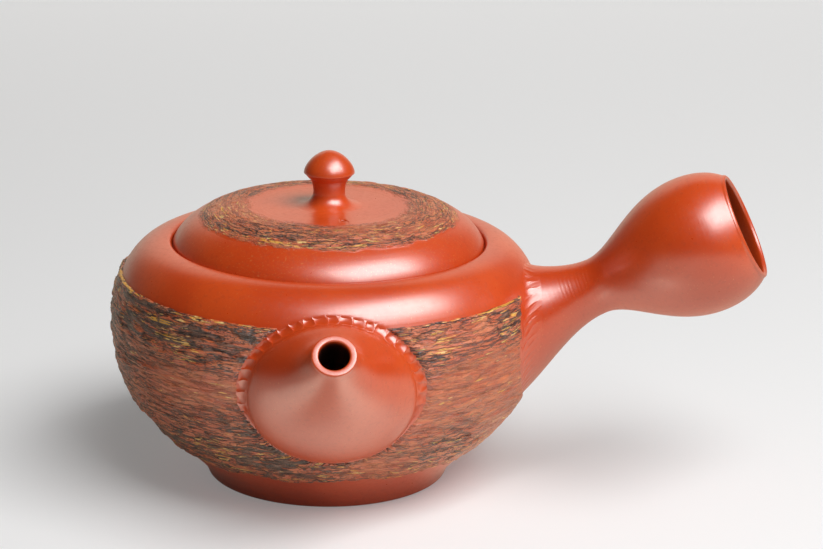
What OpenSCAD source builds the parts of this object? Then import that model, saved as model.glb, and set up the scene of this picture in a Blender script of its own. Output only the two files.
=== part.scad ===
// Side-handled Japanese teapot of unglazed red clay, in millimetres.
// The foot stands on z = 0 and the pot is turned about the z axis.
// The spout points to -y. The handle points to +x and is swung toward the spout.

/* [Pot] */
// Outer radius of the pot at its widest
belly_r = 57; // [55:0.5:59]
// Height of the widest ring above the table
belly_z = 43; // [41:0.5:45]
// Height of the shoulder's crest above the table
shoulder_z = 64; // [62:0.5:66]
// Radius of the foot where it stands
foot_r = 32.3; // [30:0.1:35]
// Thickness of the thrown wall
wall = 4; // [3:0.25:5]
// Thickness of the floor above the recess under the foot
floor_t = 5; // [4:0.5:7]
// Depth of the turned recess under the foot
recess_depth = 1.5; // [0.5:0.25:2.5]
// Width of the ring that the foot stands on
foot_ring_w = 5; // [4:0.5:8]

/* [Lid seat] */
// Radius of the recess that the lid drops into
seat_r = 41.6; // [40:0.2:43]
// Depth of the ledge below the shoulder's crest
seat_depth = 2.4; // [2:0.1:3.5]
// Width of the ledge that carries the lid
ledge_w = 4.4; // [3.5:0.1:6]
// Thickness of the clay under the ledge
ledge_t = 4; // [3:0.25:5]

/* [Lid] */
// Gap between the lid and the pot, all round
lid_gap = 0.5; // [0.3:0.1:0.8]
// Rise of the lid's flat top above the ledge
lid_rise = 11.4; // [9:0.2:14]
// Radius of the flat disc in the middle of the lid
disc_r = 20; // [17:0.5:22]
// Thickness of the lid's dome
lid_t = 4; // [3:0.25:5]
// Depth of the ring under the lid that keeps it in the mouth
ring_depth = 8; // [5:0.5:10]
// Thickness of that ring
ring_t = 3; // [2:0.25:4]
// Radius of the steam hole
vent_r = 1.1; // [0.8:0.1:1.6]

/* [Knob] */
// Height of the knob above the lid's flat disc
knob_h = 14.8; // [12:0.2:18]
// Radius of the knob's cap
knob_r = 6.7; // [6:0.1:8]
// Radius of the knob's neck
knob_neck_r = 3.8; // [3:0.1:4.6]

/* [Bark] */
// Thickness of the torn slip layer
bark_t = 0.6; // [0.4:0.1:1]
// Height of the lower edge of the bark on the belly
bark_low_z = 11; // [10:0.5:14]
// Height of the upper edge of the bark on the belly
bark_top_z = 55.4; // [53:0.2:57]
// Width of the bark ring on the lid
lid_bark_w = 15; // [10:0.2:16]

/* [Spout] */
// Distance from the pot's axis to the middle of the lip
lip_reach = 75; // [73:0.5:79]
// Height of the middle of the lip above the table
lip_z = 55.7; // [54:0.1:58]
// Rise of the neck behind the lip, in degrees
lip_rise = 44; // [38:1:48]
// Outer radius of the spout at the lip
lip_r = 5.5; // [5:0.1:6]
// Radius of the bore at the lip
lip_bore_r = 4; // [3:0.1:4.2]
// Half the height of the bell at its base
bell_half_h = 19.2; // [18.6:0.1:19.8]
// Half the width of the bell at its base
bell_half_w = 22.1; // [21.4:0.1:22.6]
// Height of the middle of the bell's base above the table
bell_z = 37.2; // [36.5:0.1:38]
// Radius of the window in the pot's wall behind the spout
window_r = 11.5; // [8:0.5:12]

/* [Joint clay] */
// Thickness of the clay pressed over the joints
collar_t = 1.2; // [0.8:0.1:1.8]
// Number of press marks round the top of the spout
spout_marks = 17; // [11:2:19]
// Number of press marks round the handle
handle_marks = 20; // [12:1:24]

/* [Strainer] */
// Radius of the strainer's dome
dome_r = 21; // [20:0.5:23]
// Thickness of the strainer
dome_t = 2; // [1.5:0.25:2.5]
// Radius of one hole in the strainer
pierce_r = 0.9; // [0.6:0.1:1.1]

/* [Handle] */
// Swing of the handle toward the spout, in degrees from square
handle_turn = 11; // [0:1:15]
// Rise of the handle's axis in degrees
handle_rise = 26; // [22:1:30]
// Distance along the handle's axis from the pot's axis to the open end
handle_reach = 121.8; // [116:0.2:128]
// Radius of the grip at its widest
grip_r = 18.3; // [16:0.1:20]
// Radius of the waist between grip and pot
waist_r = 7.4; // [6.6:0.1:9]
// Radius of the flare where the handle meets the pot
flare_r = 21; // [19:0.25:22]
// Radius of the opening in the handle's end
end_hole_r = 12.5; // [10:0.25:13.5]
// Thickness of the handle's wall
handle_wall = 3.1; // [2.4:0.1:3.4]

/* [Hidden] */
$fn = 128;
clay = [0.66, 0.20, 0.08];
bark = [0.34, 0.17, 0.11];
past = 1; // how far a cutting solid runs past the face that it opens

// Points of a curve that leaves a toward b and reaches d from c, in n steps
function curve(a, b, c, d, n) =
    [for (i = [0:n])
        let (t = i / n, u = 1 - t)
        u * u * u * a + 3 * u * u * t * b + 3 * u * t * t * c + t * t * t * d];
// The same list without its first point
function tail(v) = [for (i = [1:len(v) - 1]) v[i]];
// The same list the other way round
function back(v) = [for (i = [len(v) - 1:-1:0]) v[i]];
// Radius at height z of a section whose points climb
function radius_at(v, z) = lookup(z, [for (p = v) [p[1], p[0]]]);

// Outside of the pot as radius and height: hollow foot, belly, round shoulder
heel_r = foot_r + 7.2;
heel_z = 9.2;
lip_round = 1.2;
crest_r = seat_r + lip_round;
foot_curve = curve([foot_r, 0], [foot_r + 0.2, 3], [heel_r - 4, heel_z - 3.8], [heel_r, heel_z], 4);
belly_curve = curve([heel_r, heel_z], [heel_r + 9.2, heel_z + 8.5], [belly_r, belly_z - 17.5],
                    [belly_r, belly_z], 10);
shoulder_curve = curve([belly_r, belly_z], [belly_r, belly_z + 11.8], [crest_r + 8.6, shoulder_z],
                       [crest_r, shoulder_z], 8);
outside = concat(foot_curve, tail(belly_curve), tail(shoulder_curve));

// Inside of the pot, from the middle of the floor up to the mouth
recess_r = foot_r - foot_ring_w;
floor_z = recess_depth + floor_t;
hollow_r = belly_r - wall;
inner_heel = [heel_r - wall * sin(45), heel_z + wall * cos(45)];
ledge_z = shoulder_z - seat_depth;
mouth_r = seat_r - ledge_w;
under_z = ledge_z - ledge_t;
floor_r = inner_heel[0] - 9;
floor_curve = curve([floor_r, floor_z], [floor_r + 4, floor_z], inner_heel - [3, 3], inner_heel, 4);
hollow_curve = curve(inner_heel, inner_heel + [8, 8], [hollow_r, belly_z - 15], [hollow_r, belly_z], 8);
ceiling_curve = curve([hollow_r, belly_z], [hollow_r, belly_z + 8], [mouth_r + 9, under_z],
                      [mouth_r, under_z], 6);
inside = concat([[0, floor_z]], floor_curve, tail(hollow_curve), tail(ceiling_curve));

// Heights at which the pot's outside turns, from low to top
function heights_between(low, top) =
    concat([low], [for (p = outside) if (p[1] > low && p[1] < top) p[1]], [top]);
bark_heights = heights_between(bark_low_z, bark_top_z);

// Top of the lid as radius and height
disc_z = ledge_z + lid_rise;
under_disc_z = disc_z - lid_t;
rim_r = seat_r - lid_gap;
rim_t = 1.9;
dome_edge = [rim_r, ledge_z + rim_t];
disc_pull = [10, 0.3]; // how the dome leaves the disc
rim_pull = [-2.6, 6]; // how it comes down on the rim
dome_curve = curve([disc_r, disc_z], [disc_r, disc_z] + disc_pull, dome_edge + rim_pull, dome_edge, 10);
ring_r = mouth_r - lid_gap;
lid_bark_r = disc_r + lid_bark_w;
vent_inset = 3; // from the edge of the disc
vent_reach = disc_r - vent_inset;
vent_turn = 12; // degrees from the spout toward the handle

// The knob as radius and height: spreading foot, slim neck, and a domed cap with a sharp lower edge
knob_foot = [knob_neck_r + 3.8, disc_z];
knob_neck = [knob_neck_r, disc_z + 3.8];
knob_top_z = disc_z + knob_h;
knob_cap_h = 5.9;
knob_edge = [knob_r, knob_top_z - knob_cap_h];
knob_throat = [knob_neck_r + 1.05, knob_edge[1] - 1.5]; // where the neck meets the underside of the cap
knob_foot_curve = curve(knob_foot, knob_foot + [-2, 0.4], knob_neck - [0, 2.2], knob_neck, 5);
knob_neck_curve = curve(knob_neck, knob_neck + [0, 1.8], knob_throat - [0.45, 0.4], knob_throat, 4);
knob_cap_curve = curve(knob_edge, knob_edge + [-0.2, 2.3], [knob_r / 2, knob_top_z - 0.1],
                       [0, knob_top_z], 8);

// The spout: a bell whose oval rings climb toward the lip, and a round neck along its middle line.
// The bell is drawn as radius and distance out from its base ring, which lies inside the pot's wall
// with its top further out than its foot. The neck is drawn as radius and distance back from the lip.
bell_reach = radius_at(outside, bell_z) - 5.2;
bell_len = lip_reach - bell_reach;
bell_climb = (lip_z - bell_z) / bell_len;
bell_tilt = 4; // degrees that the rings face downward
bell_spread = bell_half_w / bell_half_h;
bell_stop = bell_len - 4.5; // the bell ends here, inside the neck
bell_root = [bell_half_h - 12, -12];
bell_curve = curve([bell_half_h, 0], [bell_half_h - 1, 5], [lip_r + 4.5, bell_len - 10],
                   [lip_r + 1.6, bell_stop], 8);
spout_wall = 3.2;
passage_r = bell_half_h - spout_wall;
passage_curve = curve([passage_r, -1], [passage_r - 2, 4], [lip_bore_r + 3, bell_len - 11],
                      [lip_bore_r + 0.4, bell_stop], 6);
neck_len = 20;
neck_r = lip_r + 0.6; // radius of the neck where it is lost in the bell
bore_len = 12;
joint_z = bell_z + 0.9; // height of the middle of the joint on the belly
window_z = joint_z + 0.6;

// Joint clay: half widths and half heights of the ovals that it covers, seen along the joint
spout_collar_w = bell_half_w + 0.7;
spout_collar_h = bell_half_h + 1.4;
spout_collar_drop = 9;
spout_collar_low = joint_z - spout_collar_drop;
bark_tuck = 0.4; // how far the bark runs in under the clay
mark_inset = 1; // from the edge of the clay to the middles of the marks
spout_mark_r = 3;
spout_mark_depth = 0.9;
spout_mark_sweep = 100; // degrees each way from the top
handle_mark_r = 2.4;
handle_mark_depth = 0.6;

// Strainer: the middle of its dome lies outside the wall
dome_apex = 8; // how far the dome bulges into the pot
dome_y = -(hollow_r - dome_apex + dome_r);
pierce_rings = 3;
pierce_step = 8.5; // degrees between rings of holes

// The handle and its hollow as radius and distance from the pot's axis
handle_z = 20;
flare_sink = 15; // from the pot's widest ring in to the start of the flare
flare_len = 37.5;
cup_len = 12.8;
end_rim_t = 1.7;
flare_s = belly_r - flare_sink;
waist_s = flare_s + flare_len;
grip_s = handle_reach - cup_len;
end_r = end_hole_r + end_rim_t;
flare_curve = curve([flare_r, flare_s], [flare_r - 1.5, flare_s + 13], [waist_r, waist_s - 12.5],
                    [waist_r, waist_s], 8);
grip_curve = curve([waist_r, waist_s], [waist_r, waist_s + 7.5], [grip_r, grip_s - 14], [grip_r, grip_s], 8);
end_curve = curve([grip_r, grip_s], [grip_r, grip_s + 5], [end_r + 2.6, handle_reach - 2.8],
                  [end_r, handle_reach], 5);
bore_r = waist_r - handle_wall;
cup_r = grip_r - handle_wall;
root_r = flare_r - handle_wall;
root_curve = curve([root_r, flare_s], [root_r, flare_s + 11], [bore_r, waist_s - 14], [bore_r, waist_s], 6);
cup_curve = curve([bore_r, waist_s], [bore_r, waist_s + 8.5], [cup_r, grip_s - 13], [cup_r, grip_s], 6);
mouth_curve = curve([cup_r, grip_s], [cup_r, grip_s + 5], [end_hole_r + 1.2, handle_reach - 3],
                    [end_hole_r, handle_reach], 4);

// Where the handle comes out of the pot: its upper edge (side = 1) or lower edge (side = -1) is followed
// outward, as distance from the pot's axis and height, to the first point outside the pot
joint_step = 0.1;
function flare_edge(side, s) =
    let (r = side * radius_at(flare_curve, s))
    [s * cos(handle_rise) - r * sin(handle_rise), handle_z + s * sin(handle_rise) + r * cos(handle_rise)];
function joint_edge_z(side) =
    [for (s = [flare_s:joint_step:waist_s])
        let (p = flare_edge(side, s))
        if (p[0] > radius_at(outside, p[1])) p[1]][0];
joint_cover = [0.9, 0.4]; // how far the clay reaches past the joint sideways and upright
joint_top_z = joint_edge_z(1);
joint_low_z = joint_edge_z(-1);
handle_collar_z = (joint_top_z + joint_low_z) / 2;
handle_collar_w = (joint_top_z - joint_low_z) / 2 + joint_cover[0];
handle_collar_h = (joint_top_z - joint_low_z) / 2 + joint_cover[1];
handle_collar_low = handle_collar_z - handle_collar_h - past;

module turned(section) {
    rotate_extrude() polygon(section);
}

// The pot's outside as one full solid
module pot_outside() {
    turned(concat([[0, 0]], outside, [[0, shoulder_z]]));
}

// The space inside the pot, up to the underside of the ledge
module pot_hollow() {
    turned(concat(inside, [[0, under_z]]));
}

// The pot's outside grown sideways by t, between two heights
module grown_belly(t, low, top) {
    climb = [for (z = heights_between(low, top)) [radius_at(outside, z) + t, z]];
    turned(concat([[0, low]], climb, [[0, top]]));
}

// Puts what is drawn along +z from the bell's base ring in its place, leaning up toward the lip
module at_bell() {
    lean = [[bell_spread, 0, 0, 0], [0, 1, -tan(bell_tilt), 0], [0, -bell_climb, 1, 0], [0, 0, 0, 1]];
    translate([0, -bell_reach, bell_z]) multmatrix(lean) rotate([90, 0, 0]) children();
}

// Puts what is drawn from the lip backward along +z in its place
module at_lip() {
    translate([0, -lip_reach, lip_z]) rotate([-90 - lip_rise, 0, 0]) children();
}

// The spout's outside as one full solid
module bell_solid() {
    at_bell() turned(concat([[0, bell_root[1]], bell_root], bell_curve, [[0, bell_stop]]));
    at_lip() cylinder(r1 = lip_r, r2 = neck_r, h = neck_len);
}

// Puts what is drawn along +z from the pot's axis on the handle's axis
module at_handle() {
    translate([0, 0, handle_z]) rotate([0, 90 - handle_rise, -handle_turn]) children();
}

module handle_solid() {
    at_handle() turned(concat([[0, flare_s]], flare_curve, tail(grip_curve), tail(end_curve),
                              [[0, handle_reach]]));
}

// A long oval prism from the pot's axis toward -y, out past the joint clay
module joint_column(half_w, half_h, mid) {
    spread = half_w - half_h;
    translate([0, 0, mid]) rotate([90, 0, 0]) linear_extrude(belly_r + bark_t + collar_t + past) {
        for (side = [-1, 1])
            translate([side * spread, 0]) circle(half_h);
        square([2 * spread, 2 * half_h], center = true);
    }
}

// One round press mark in joint clay, at angle a on an oval about height mid
module press_mark(a, half_w, half_h, mid, mark_r, depth) {
    x = half_w * cos(a);
    z = mid + half_h * sin(a);
    surface = radius_at(outside, z) + bark_t + collar_t;
    y = -sqrt(surface * surface - x * x);
    out = (surface + mark_r - depth) / surface;
    translate([x * out, y * out, z]) sphere(mark_r);
}

// Clay over a joint toward -y: an oval patch of the grown belly above height low, less the pot and its bark
module joint_patch(half_w, half_h, mid, low) {
    difference() {
        intersection() {
            grown_belly(bark_t + collar_t, low, mid + half_h + past);
            joint_column(half_w, half_h, mid);
        }
        pot_outside();
        difference() {
            grown_belly(bark_t, bark_low_z, bark_top_z);
            joint_column(half_w - bark_tuck, half_h - bark_tuck, mid);
        }
    }
}

module pot_body() {
    color(clay) difference() {
        turned(concat(
            [[0, recess_depth], [recess_r - recess_depth, recess_depth], [recess_r, 0]],
            outside,
            [for (a = [120:30:180]) [crest_r, shoulder_z - lip_round] + lip_round * [cos(a), sin(a)]],
            [[seat_r, ledge_z], [mouth_r, ledge_z]],
            back(inside)));
        translate([0, 0, window_z]) rotate([90, 0, 0]) cylinder(r = window_r, h = belly_r + past);
    }
}

module belly_bark() {
    color(bark) difference() {
        turned(concat(
            [for (z = bark_heights) [radius_at(outside, z) + bark_t, z]],
            [for (z = back(bark_heights)) [radius_at(outside, z), z]]));
        joint_column(spout_collar_w - bark_tuck, spout_collar_h - bark_tuck, joint_z);
        rotate([0, 0, 90 - handle_turn])
            joint_column(handle_collar_w - bark_tuck, handle_collar_h - bark_tuck, handle_collar_z);
    }
}

module spout() {
    color(clay) difference() {
        bell_solid();
        pot_outside();
        at_bell() turned(concat([[0, bell_root[1] - past], bell_root - [spout_wall, past]], passage_curve,
                                [[0, bell_stop]]));
        at_lip() translate([0, 0, -past]) cylinder(r = lip_bore_r, h = bore_len + past);
    }
}

module spout_collar() {
    color(clay) difference() {
        joint_patch(spout_collar_w, spout_collar_h, joint_z, spout_collar_low);
        bell_solid();
        for (i = [0:spout_marks - 1])
            press_mark(90 - spout_mark_sweep + 2 * spout_mark_sweep * i / (spout_marks - 1),
                       spout_collar_w - mark_inset, spout_collar_h - mark_inset, joint_z,
                       spout_mark_r, spout_mark_depth);
    }
}

module strainer() {
    color(clay) intersection() {
        translate([0, dome_y, window_z]) difference() {
            sphere(dome_r);
            sphere(dome_r - dome_t);
            for (ring = [0:pierce_rings])
                for (i = [0:max(6 * ring, 1) - 1])
                    rotate([0, 360 * i / max(6 * ring, 1), 0])
                        rotate([-90, 0, ring * pierce_step])
                            translate([0, 0, dome_r - dome_t - past])
                                cylinder(r = pierce_r, h = dome_t + 2 * past);
        }
        pot_hollow();
    }
}

module handle() {
    color(clay) difference() {
        handle_solid();
        pot_outside();
        at_handle() turned(concat([[0, flare_s - past], [flare_r - handle_wall, flare_s - past]], root_curve,
                                  tail(cup_curve), tail(mouth_curve),
                                  [[end_hole_r, handle_reach + past], [0, handle_reach + past]]));
    }
}

module handle_collar() {
    color(clay) difference() {
        rotate([0, 0, 90 - handle_turn]) difference() {
            joint_patch(handle_collar_w, handle_collar_h, handle_collar_z, handle_collar_low);
            for (i = [0:handle_marks - 1])
                press_mark(360 * i / handle_marks, handle_collar_w - mark_inset, handle_collar_h - mark_inset,
                           handle_collar_z, handle_mark_r, handle_mark_depth);
        }
        handle_solid();
    }
}

module lid() {
    color(clay) difference() {
        turned(concat(
            [[0, disc_z]], dome_curve,
            [[rim_r, ledge_z], [ring_r, ledge_z]],
            [[ring_r, ledge_z - ring_depth], [ring_r - ring_t, ledge_z - ring_depth]],
            curve([ring_r - ring_t, ledge_z], [ring_r - ring_t - 3, under_disc_z - 2], [disc_r, under_disc_z],
                  [disc_r - 6, under_disc_z], 6),
            [[0, under_disc_z]]));
        rotate([0, 0, vent_turn]) translate([0, -vent_reach, under_disc_z - past])
            cylinder(r = vent_r, h = lid_t + 2 * past);
    }
}

module lid_bark() {
    edge = [lid_bark_r, lookup(lid_bark_r, dome_curve)];
    under = concat([for (p = dome_curve) if (p[0] < lid_bark_r) p], [edge]);
    color(bark) turned(concat(under, [for (p = back(under)) p + [0, bark_t]]));
}

module knob() {
    color(clay) turned(concat([[0, disc_z]], knob_foot_curve, tail(knob_neck_curve), knob_cap_curve));
}

pot_body();
belly_bark();
spout();
spout_collar();
strainer();
handle();
handle_collar();
lid();
lid_bark();
knob();
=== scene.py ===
"""Dresses the side-handled teapot: burnished red clay, torn bark slip, press marks and a pale studio.

Lengths are millimetres in the part's frame until a mesh is made: the foot stands on z = 0, the pot is
turned about z, the spout points to -y and the handle to +x, swung toward the spout. Materials use metres.
"""

import logging
from dataclasses import dataclass, field
from enum import Enum

import bmesh
import bpy
import numpy as np
from mathutils import Matrix


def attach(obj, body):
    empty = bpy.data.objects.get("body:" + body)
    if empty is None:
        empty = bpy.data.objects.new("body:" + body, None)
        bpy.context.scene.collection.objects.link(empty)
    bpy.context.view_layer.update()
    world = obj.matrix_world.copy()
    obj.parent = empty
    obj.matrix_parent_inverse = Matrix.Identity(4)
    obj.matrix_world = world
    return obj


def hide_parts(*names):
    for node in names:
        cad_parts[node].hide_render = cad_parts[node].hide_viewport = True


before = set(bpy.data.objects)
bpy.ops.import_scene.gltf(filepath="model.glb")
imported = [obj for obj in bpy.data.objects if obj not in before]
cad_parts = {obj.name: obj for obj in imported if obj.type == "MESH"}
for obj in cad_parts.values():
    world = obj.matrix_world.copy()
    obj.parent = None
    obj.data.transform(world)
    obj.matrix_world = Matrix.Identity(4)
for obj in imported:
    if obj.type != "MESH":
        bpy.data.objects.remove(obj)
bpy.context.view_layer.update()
MM = 0.001
DOUBLES_M = 1e-7
TINY = 1e-6

log = logging.getLogger("teapot")

Array = np.ndarray
Material = bpy.types.Material
Object = bpy.types.Object
Socket = bpy.types.NodeSocket


class Body(Enum):
    """The rigid bodies that pieces ride on."""

    POT = "pot"
    LID = "lid"


class Slot(Enum):
    """Material slots."""

    CLAY = "red_clay"
    BARK = "bark_slip"


class Turning(Enum):
    """How the potter's fine turning lines run over a piece."""

    UPRIGHT = "rings about the pot's axis, stacked in height"
    FLAT = "rings about the pot's axis, nested in a flat face"
    HANDLE = "rings about the handle's axis"
    NONE = "shaped by hand, with no rings"


class Layer(Enum):
    """Layers of noise in the bark, each with its own step from the seed."""

    WAVE = 0
    PILLOW = 1
    WRINKLE = 2
    PLATE = 3
    RIPPLE = 5
    EDGE = 9
    PATCH = 12


def cubic(a: Array, b: Array, c: Array, d: Array, t: Array) -> Array:
    """Cubic curve u³a + 3u²t b + 3ut²c + t³d with u = 1 - t, which leaves a toward b and reaches d from c.

    Args:
        a, b, c, d: control points, or rings of them.
        t: shares of the way.

    Returns:
        The points at each share.
    """
    u = 1 - t
    return u**3 * a + 3 * u * u * t * b + 3 * u * t * t * c + t**3 * d


def bend(start: tuple, leave: tuple, arrive: tuple, end: tuple, steps: int) -> Array:
    """A cubic curve in a section, shaped by a pull at each end.

    Args:
        start, end: its ends as radius and height.
        leave, arrive: how far the control points lie from the start and the end.
        steps: number of stretches.

    Returns:
        Array of steps + 1 points.
    """
    a, b, c, d = (np.asarray(pair, float) for pair in (start, leave, arrive, end))
    return cubic(a, a + b, d + c, d, np.linspace(0.0, 1.0, steps + 1)[:, None])


def arc(centre: tuple, radius: float, start: float, end: float, steps: int) -> Array:
    """Points of a circular arc, by cosine and sine of evenly spaced angles.

    Args:
        centre: middle of the arc.
        radius: its radius.
        start, end: angles in degrees.
        steps: number of stretches.

    Returns:
        Array of steps + 1 points.
    """
    a = np.radians(np.linspace(start, end, steps + 1))
    return np.asarray(centre, float) + radius * np.stack([np.cos(a), np.sin(a)], -1)


def chain(*stretches: Array) -> Array:
    """One section from stretches that meet end to start, without the doubled points.

    Args:
        stretches: points as radius and height.

    Returns:
        Array of points.
    """
    section = np.vstack([np.atleast_2d(s) for s in stretches])
    apart = np.linalg.norm(np.diff(section, axis=0), axis=1) > TINY
    return section[np.concatenate([[True], apart])]


def round_angles(count: int) -> Array:
    """Evenly spaced angles of one whole turn, in radians."""
    return np.linspace(0.0, 2 * np.pi, count, endpoint=False)


def turn(section: Array, columns: int) -> Array:
    """Surface of revolution: each section point (r, z) becomes (r cos a, r sin a, z) round the z axis.

    Args:
        section: points as radius and height.
        columns: number of steps round the axis.

    Returns:
        Grid of points, rows along the section and columns round the axis.
    """
    a = round_angles(columns) - np.pi / 2
    r, z = section[:, :1], section[:, 1:]
    return np.stack([r * np.cos(a), r * np.sin(a), z + 0 * a], -1)


def unit(vectors: Array) -> Array:
    """Vectors brought to length 1, apart from those of no length."""
    return vectors / np.maximum(np.linalg.norm(vectors, axis=-1, keepdims=True), 1e-9)


def grid_normals(points: Array, closed: bool) -> Array:
    """Unit normals of a grid from the cross product of its steps along and across.

    Args:
        points: grid of points.
        closed: whether the last column joins the first.

    Returns:
        Grid of normals.
    """
    padded = np.concatenate([points[:, -1:], points, points[:, :1]], 1) if closed else points
    along = np.gradient(padded, axis=1)
    along = along[:, 1:-1] if closed else along
    return unit(np.cross(along, np.gradient(points, axis=0)))


def grid_faces(rows: int, columns: int, close_rows: bool, close_columns: bool) -> Array:
    """Quads between neighbouring points of a grid, wound so that they face away from a turned solid.

    Args:
        rows, columns: size of the grid.
        close_rows, close_columns: whether the last row or column joins the first.

    Returns:
        Array of four point numbers a face.
    """
    i, j = np.meshgrid(
        np.arange(rows if close_rows else rows - 1),
        np.arange(columns if close_columns else columns - 1),
        indexing="ij",
    )
    below, right = (i + 1) % rows, (j + 1) % columns
    corners = [i * columns + j, i * columns + right, below * columns + right, below * columns + j]
    return np.stack(corners, -1).reshape(-1, 4)


def lattice_noise(u: Array, v: Array, cell: tuple, around: float, seed: int) -> Array:
    """Smooth noise from 0 to 1 that repeats every `around` in u.

    Random values sit on a lattice of cells; between them they blend by the smooth step 3f² - 2f³.

    Args:
        u, v: places in millimetres, along and across the grain.
        cell: size of a cell along and across.
        around: length after which u comes back to its start.
        seed: seed of the random values.

    Returns:
        Noise at each place.
    """
    columns = max(3, round(around / cell[0]))
    x, y = u / around * columns, (v - v.min()) / cell[1]
    table = np.random.default_rng(seed).random((int(y.max()) + 2, columns))
    i, j = np.floor(y).astype(int), np.floor(x).astype(int)
    fx, fy = x - j, y - i
    fx, fy = fx * fx * (3 - 2 * fx), fy * fy * (3 - 2 * fy)
    left, right = j % columns, (j + 1) % columns
    low = table[i, left] * (1 - fx) + table[i, right] * fx
    high = table[i + 1, left] * (1 - fx) + table[i + 1, right] * fx
    return low * (1 - fy) + high * fy


def soft_step(x: Array, edge: float, width: float) -> Array:
    """0 below the edge and 1 above it, with a smooth climb of the given width."""
    t = np.clip((x - edge) / width + 0.5, 0.0, 1.0)
    return t * t * (3 - 2 * t)


def show(name: str, data: bpy.types.ID) -> Object:
    """Puts a mesh, lamp or camera into the scene as an object at the origin.

    Args:
        name: the object's name.
        data: what it shows.

    Returns:
        The new object.
    """
    obj = bpy.data.objects.new(name, data)
    bpy.context.scene.collection.objects.link(obj)
    return obj


def quad_mesh(name: str, points: Array, faces: Array) -> bpy.types.Mesh:
    """Mesh of a grid and its quads, put in as whole arrays.

    Args:
        name: its name.
        points: grid of points in millimetres.
        faces: four point numbers a face.

    Returns:
        The new mesh.
    """
    mesh = bpy.data.meshes.new(name)
    mesh.vertices.add(points.size // 3)
    mesh.vertices.foreach_set("co", (points * MM).astype(np.float32).ravel())
    mesh.loops.add(faces.size)
    mesh.loops.foreach_set("vertex_index", faces.astype(np.int32).ravel())
    mesh.polygons.add(len(faces))
    mesh.polygons.foreach_set("loop_start", np.arange(0, faces.size, 4, dtype=np.int32))
    mesh.update(calc_edges=True)
    mesh.validate()
    return mesh


def shade_smooth(mesh: bpy.types.Mesh) -> None:
    """Shades every face smooth."""
    mesh.polygons.foreach_set("use_smooth", np.ones(len(mesh.polygons), bool))


def close_doubles(mesh: bpy.types.Mesh) -> None:
    """Merges points that lie in one place, as at poles, and drops loose ones.

    Args:
        mesh: the mesh, changed in place.
    """
    bm = bmesh.new()
    bm.from_mesh(mesh)
    bmesh.ops.remove_doubles(bm, verts=bm.verts, dist=DOUBLES_M)
    bmesh.ops.delete(bm, geom=[v for v in bm.verts if not v.link_faces], context="VERTS")
    bm.to_mesh(mesh)
    bm.free()


@dataclass
class Piece:
    """A grid of points on its way to becoming an object that stands for a node."""

    name: str
    points: Array
    body: Body
    slot: Slot
    node: str
    close_rows: bool = False
    close_columns: bool = True
    keep: Array | None = None
    attributes: dict[str, Array] = field(default_factory=dict)

    def build(self, material: Material) -> Object:
        """Puts the grid into a mesh, closes its poles, dresses it and rides it on its body.

        Args:
            material: finish of the piece.

        Returns:
            The new object.
        """
        faces = grid_faces(*self.points.shape[:2], self.close_rows, self.close_columns)
        if self.keep is not None:
            faces = faces[self.keep.reshape(-1)[faces].all(axis=1)]
        mesh = quad_mesh(self.name, self.points, faces)
        for name, values in self.attributes.items():
            kind, key = ("FLOAT_VECTOR", "vector") if values.ndim == 3 else ("FLOAT", "value")
            layer = mesh.attributes.new(name, kind, "POINT")
            layer.data.foreach_set(key, values.astype(np.float32).ravel())
        close_doubles(mesh)
        shade_smooth(mesh)
        mesh.materials.append(material)
        obj = show(self.name, mesh)
        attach(obj, self.body.value)
        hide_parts(self.node)
        log.info("%s: %d faces on %s", self.name, len(mesh.polygons), self.body.value)
        return obj


def drill(obj: Object, start: tuple, end: tuple, radius: float, sides: int = 64) -> None:
    """Cuts a round hole between two points through a closed mesh.

    Args:
        obj: the piece.
        start, end: middles of the hole's ends, in millimetres.
        radius: radius of the hole.
        sides: number of flats round it.
    """
    a, b = np.asarray(start, float), np.asarray(end, float)
    along = unit(b - a)
    side = unit(np.cross(along, [1.0, 0.0, 0.0]))
    angle = round_angles(sides)[:, None]
    ring = radius * (np.cos(angle) * side + np.sin(angle) * np.cross(along, side))
    corner = np.arange(sides)
    faces = [*grid_faces(2, sides, False, True).tolist(), corner[::-1].tolist(), (corner + sides).tolist()]
    mesh = bpy.data.meshes.new("drill")
    mesh.from_pydata((np.vstack([a + ring, b + ring]) * MM).tolist(), [], faces)
    bit = show("drill", mesh)
    cut = obj.modifiers.new("hole", "BOOLEAN")
    cut.object, cut.operation, cut.solver = bit, "DIFFERENCE", "EXACT"
    bpy.context.view_layer.update()
    shaped = bpy.data.meshes.new_from_object(obj.evaluated_get(bpy.context.evaluated_depsgraph_get()))
    obj.modifiers.clear()
    shaped.name = obj.data.name
    obj.data = shaped
    bpy.data.objects.remove(bit)


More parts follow.
